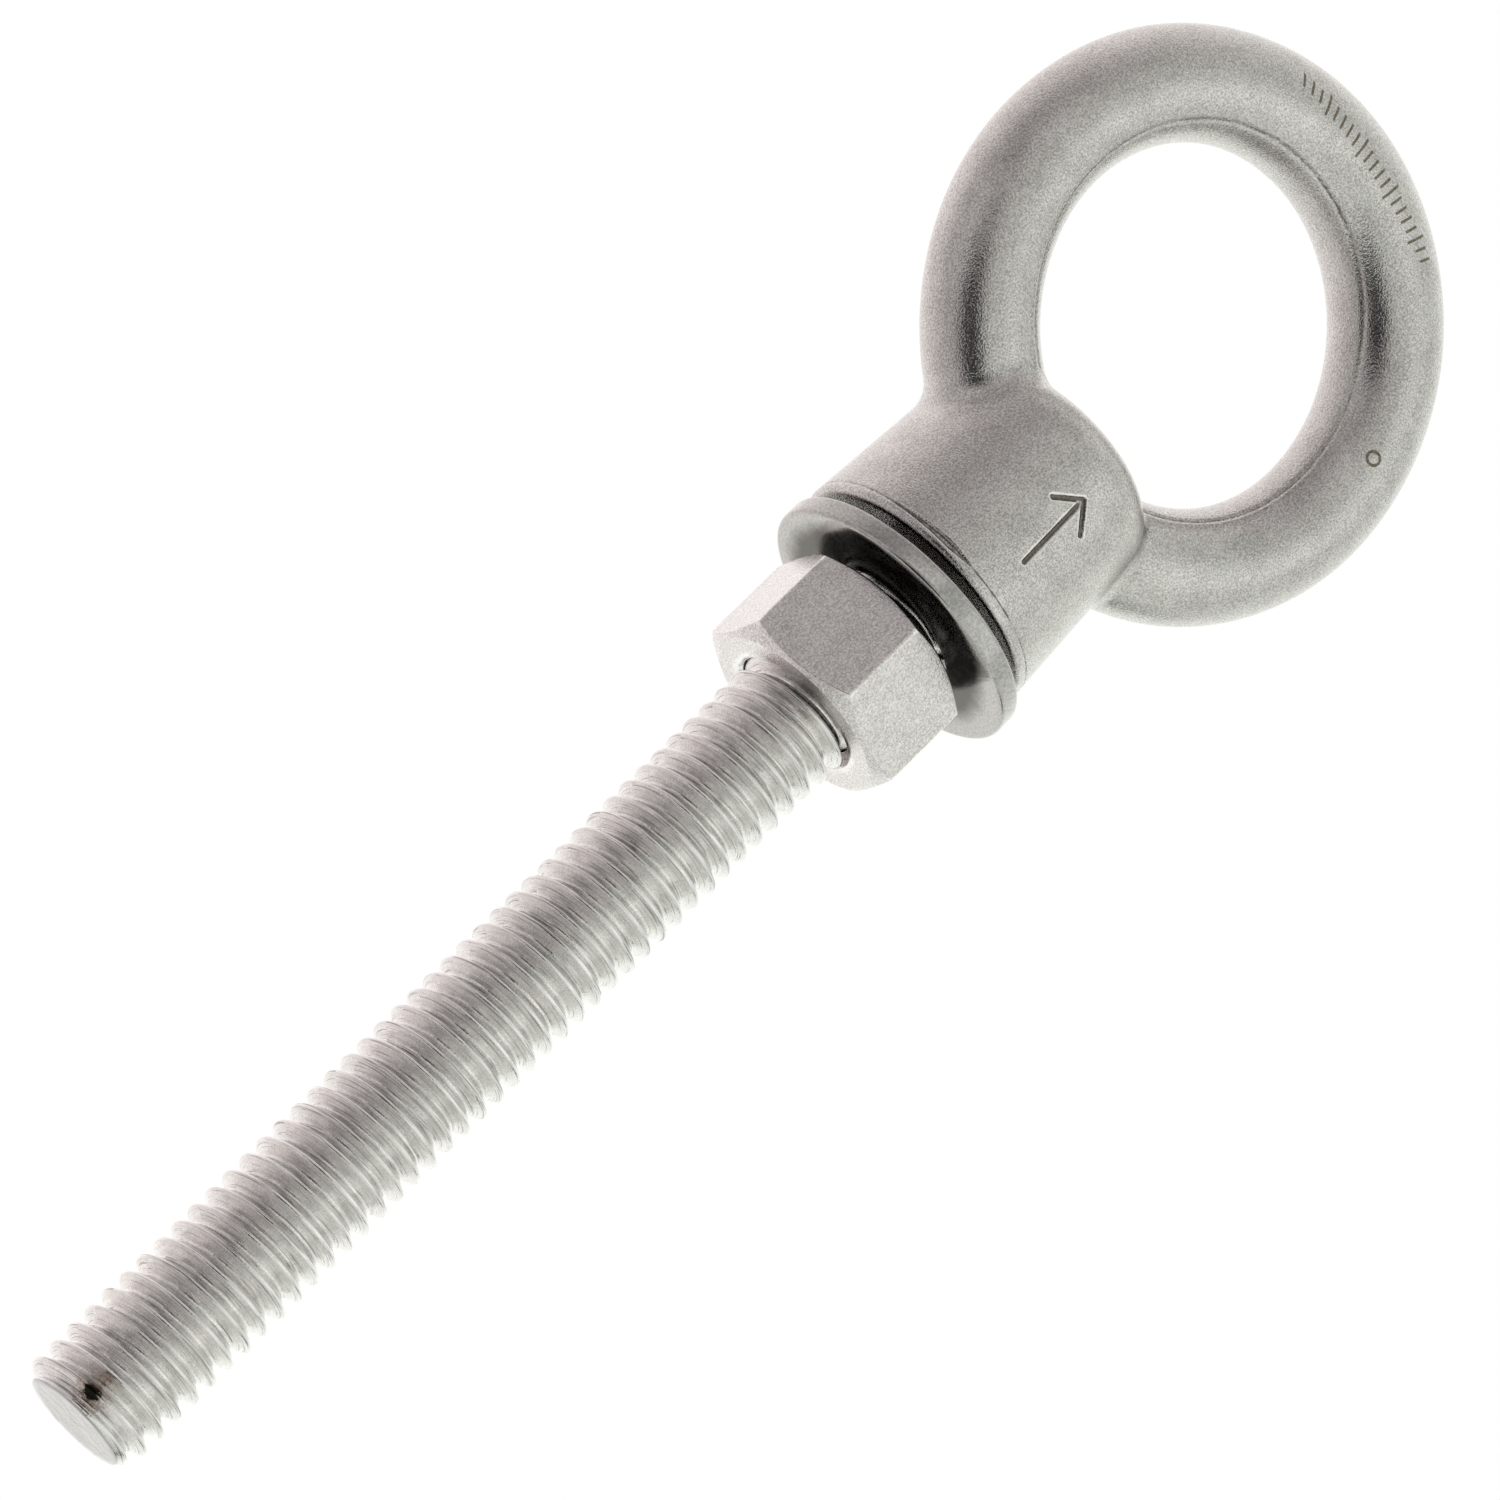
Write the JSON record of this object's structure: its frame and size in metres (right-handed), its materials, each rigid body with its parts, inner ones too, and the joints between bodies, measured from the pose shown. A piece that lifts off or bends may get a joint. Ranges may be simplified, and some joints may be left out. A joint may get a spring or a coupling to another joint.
{
  "type": "eye bolt",
  "caption": "Lifting eye bolt with a round eye on a tapered boss, a fully threaded shank, a loose flat washer and a hex nut.",
  "frame": {"origin": "centre of the boss's flat underside, where the threaded shank leaves it", "axes": "+Z along the shank axis towards the eye; the ring lies in the XZ plane and the load arrow faces -Y"},
  "size_m": [0.042, 0.0206, 0.1308],
  "materials": {
    "cast_stainless": "tumbled satin, lightly grained",
    "washer_stainless": "polished",
    "nut_stainless": "fine matte grain"
  },
  "bodies": {
    "eye_bolt": {"eye_bolt": "cast_stainless"},
    "washer": {"washer": "washer_stainless"},
    "nut": {"hex_nut": "nut_stainless"}
  },
  "joints": [
    {"name": "nut_travel", "type": "slide", "parent": "eye_bolt", "child": "washer", "axis": [0, 0, -1], "range_m": [-0.00093, 0.0688]},
    {"name": "nut_turn", "type": "hinge", "parent": "washer", "child": "nut", "pos_m": [0, 0, 0], "axis": [0, 0, -1], "range_deg": [-210.4, 15600.9]}
  ],
  "couplings": [
    {"joint": "nut_travel", "follows": "nut_turn", "m_per_rad": 0.00025266}
  ]
}
